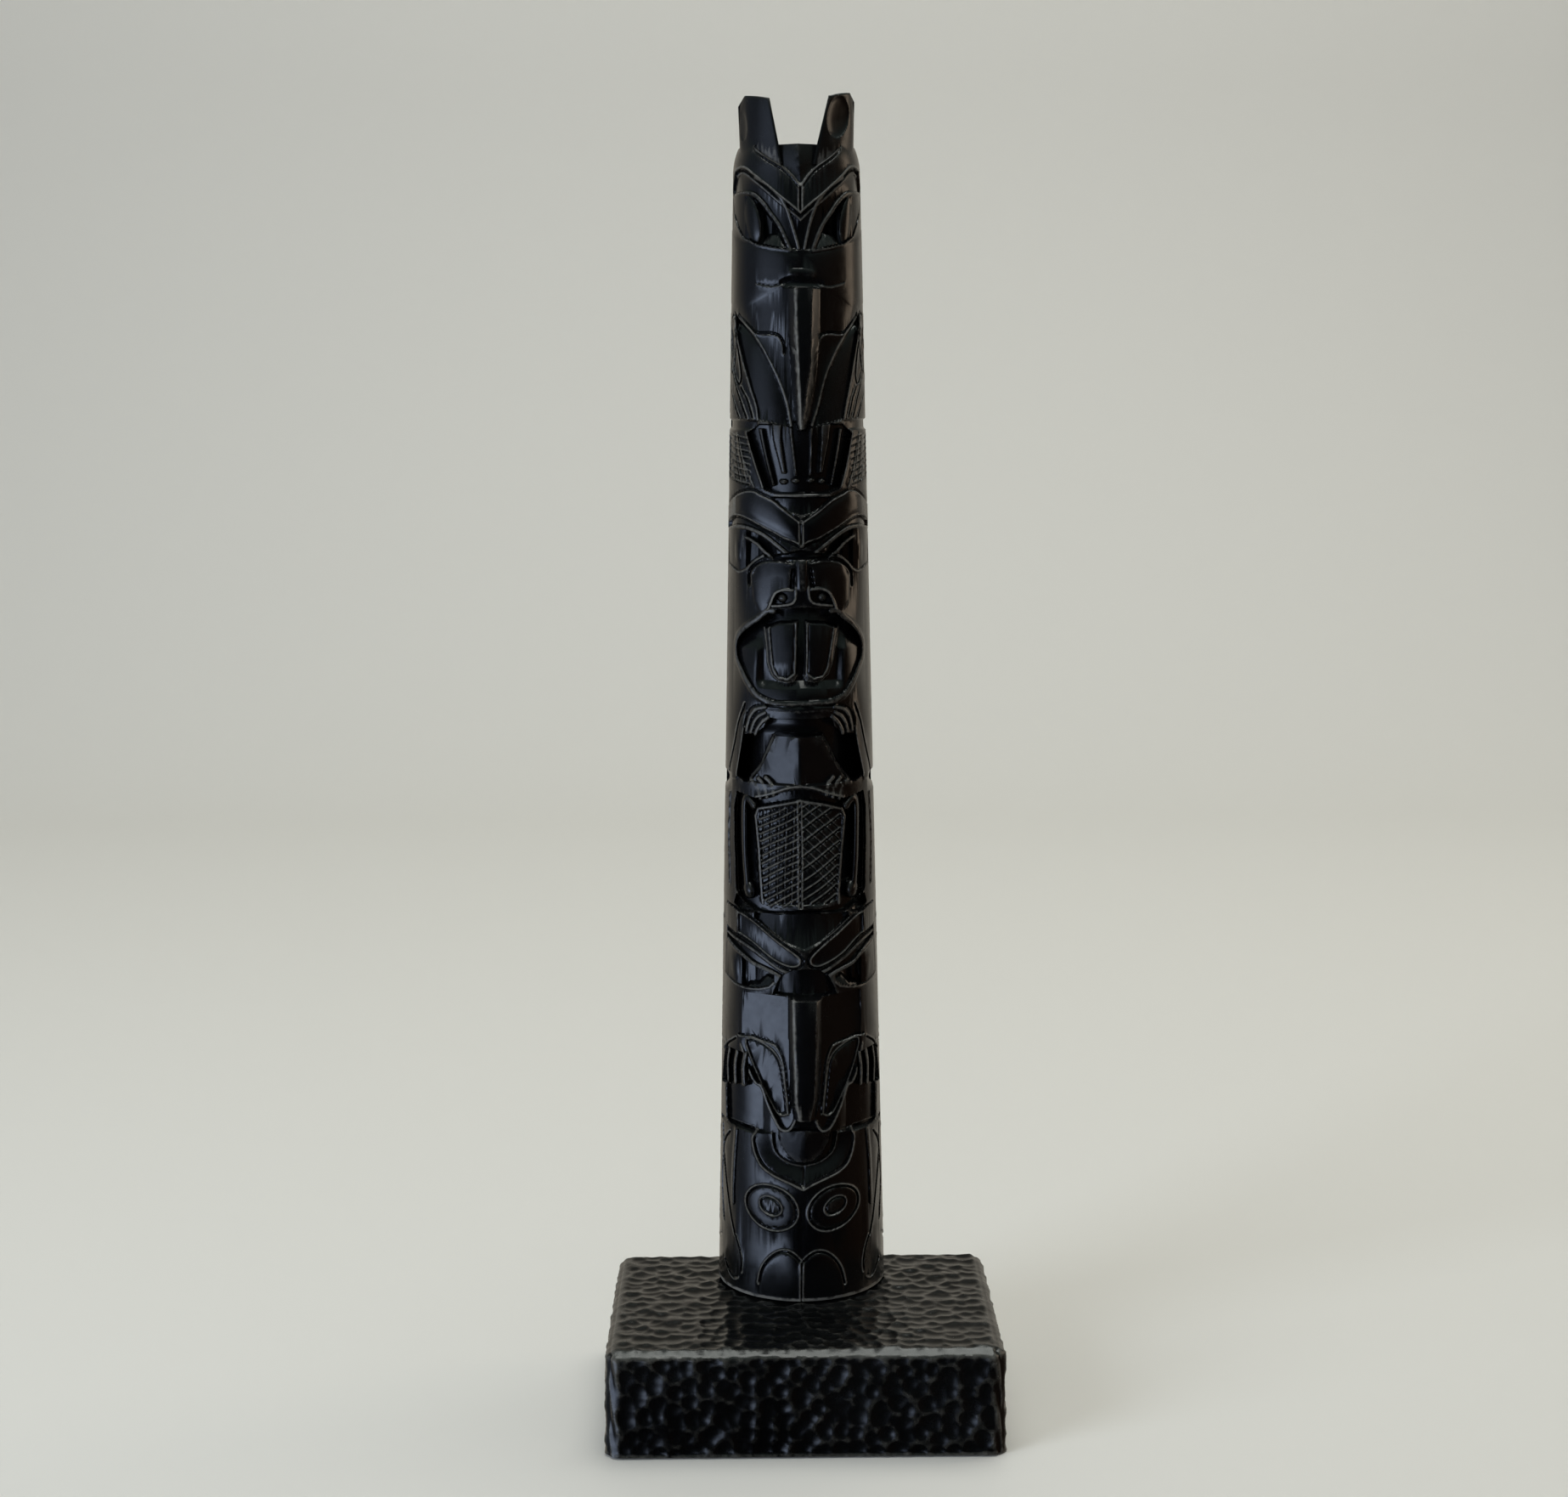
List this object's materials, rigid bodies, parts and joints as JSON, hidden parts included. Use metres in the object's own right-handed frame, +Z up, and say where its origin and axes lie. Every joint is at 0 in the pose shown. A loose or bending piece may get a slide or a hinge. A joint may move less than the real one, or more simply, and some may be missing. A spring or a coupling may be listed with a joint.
{
  "type": "totem pole ornament",
  "caption": "Small cast totem pole of stacked bird and beaver figures with upright ears, standing on a rectangular hewn plinth, all in glossy black resin.",
  "frame": {"origin": "middle of the plinth's underside", "axes": "+Z up the pole; the figures face -Y; +X to the right of someone who faces them"},
  "size_m": [0.12, 0.09, 0.402],
  "materials": {
    "hewn_resin": "glossy black cast resin with small hewn facets",
    "polished_resin": "glossy black cast resin, rubbed on the raised edges"
  },
  "bodies": {
    "root": {"plinth": "hewn_resin", "totem_pole": "polished_resin"}
  },
  "joints": []
}
